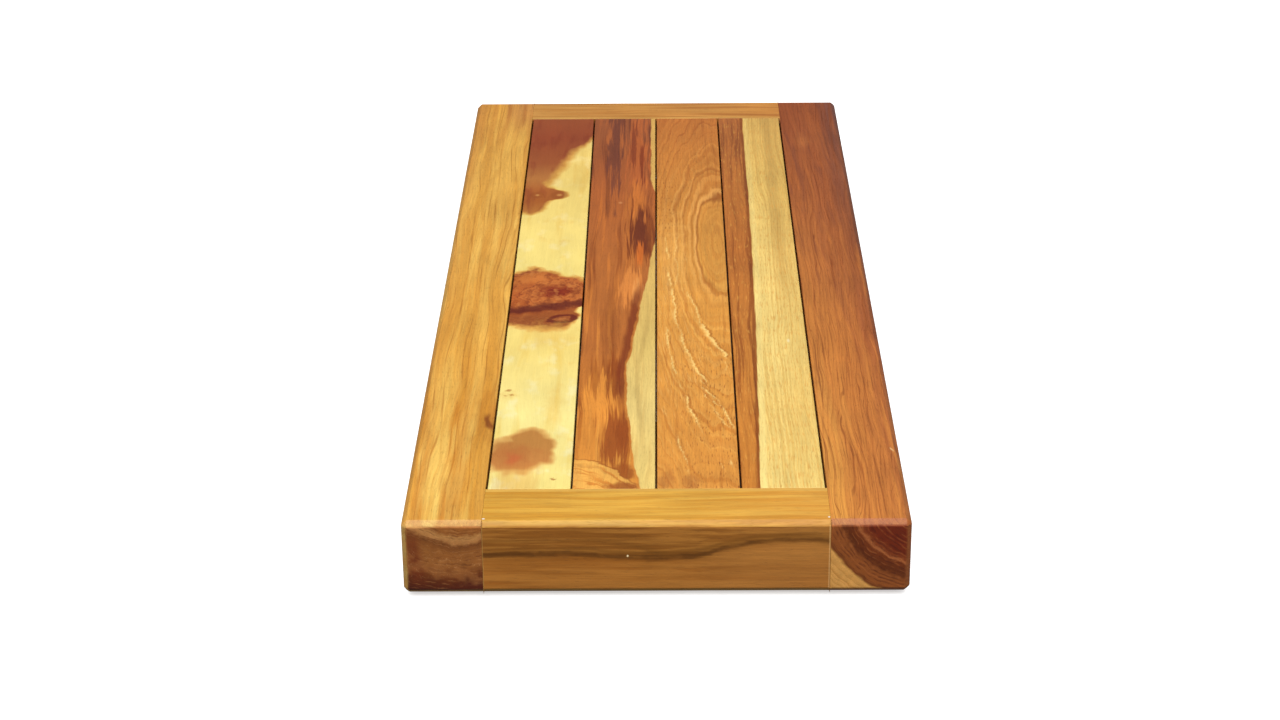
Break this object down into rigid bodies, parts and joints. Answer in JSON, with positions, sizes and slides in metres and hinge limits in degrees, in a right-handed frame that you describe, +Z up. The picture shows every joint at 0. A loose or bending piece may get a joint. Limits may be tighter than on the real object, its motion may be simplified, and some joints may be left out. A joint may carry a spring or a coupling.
{
  "type": "bath mat",
  "caption": "Rigid slatted wooden bath mat: flush boards with narrow drain gaps, held in a mortised frame on cross battens and rubber feet.",
  "frame": {"origin": "on the floor, at the centre of the mat's footprint", "axes": "+X to the right, +Y from the front rail to the rear rail along the boards, +Z up"},
  "size_m": [0.305, 0.762, 0.052],
  "materials": {
    "left_stile_wood": "golden hardwood, satin oil",
    "right_stile_wood": "red-brown heartwood, satin oil",
    "front_rail_wood": "golden hardwood, satin oil",
    "rear_rail_wood": "tan hardwood, satin oil",
    "slat_1_wood": "cream sapwood with brown knots, satin oil",
    "slat_2_wood": "dark heartwood with a sapwood edge, satin oil",
    "slat_3_wood": "orange-brown with torn cathedral grain, satin oil",
    "slat_4_wood": "brown heartwood beside pale sapwood, satin oil",
    "batten_wood": "plain sanded hardwood",
    "peg_wood": "plain dowel",
    "foot_rubber": "matt black",
    "screw_steel": "stainless, bright drawn"
  },
  "bodies": {
    "root": {"left_stile": "left_stile_wood", "right_stile": "right_stile_wood", "front_rail": "front_rail_wood", "rear_rail": "rear_rail_wood", "slat_1": "slat_1_wood", "slat_2": "slat_2_wood", "slat_3": "slat_3_wood", "slat_4": "slat_4_wood", "front_batten": "batten_wood", "middle_batten": "batten_wood", "rear_batten": "batten_wood", "tenon_peg_front_left": "peg_wood", "tenon_peg_front_right": "peg_wood", "tenon_peg_rear_left": "peg_wood", "tenon_peg_rear_right": "peg_wood", "batten_screw_front_1": "screw_steel", "batten_screw_front_2": "screw_steel", "batten_screw_front_3": "screw_steel", "batten_screw_front_4": "screw_steel", "batten_screw_middle_1": "screw_steel", "batten_screw_middle_2": "screw_steel", "batten_screw_middle_3": "screw_steel", "batten_screw_middle_4": "screw_steel", "batten_screw_rear_1": "screw_steel", "batten_screw_rear_2": "screw_steel", "batten_screw_rear_3": "screw_steel", "batten_screw_rear_4": "screw_steel", "foot_front_left": "foot_rubber", "foot_front_right": "foot_rubber", "foot_middle_left": "foot_rubber", "foot_middle_right": "foot_rubber", "foot_rear_left": "foot_rubber", "foot_rear_right": "foot_rubber", "foot_screw_front_left": "screw_steel", "foot_screw_front_right": "screw_steel", "foot_screw_middle_left": "screw_steel", "foot_screw_middle_right": "screw_steel", "foot_screw_rear_left": "screw_steel", "foot_screw_rear_right": "screw_steel"}
  },
  "joints": []
}
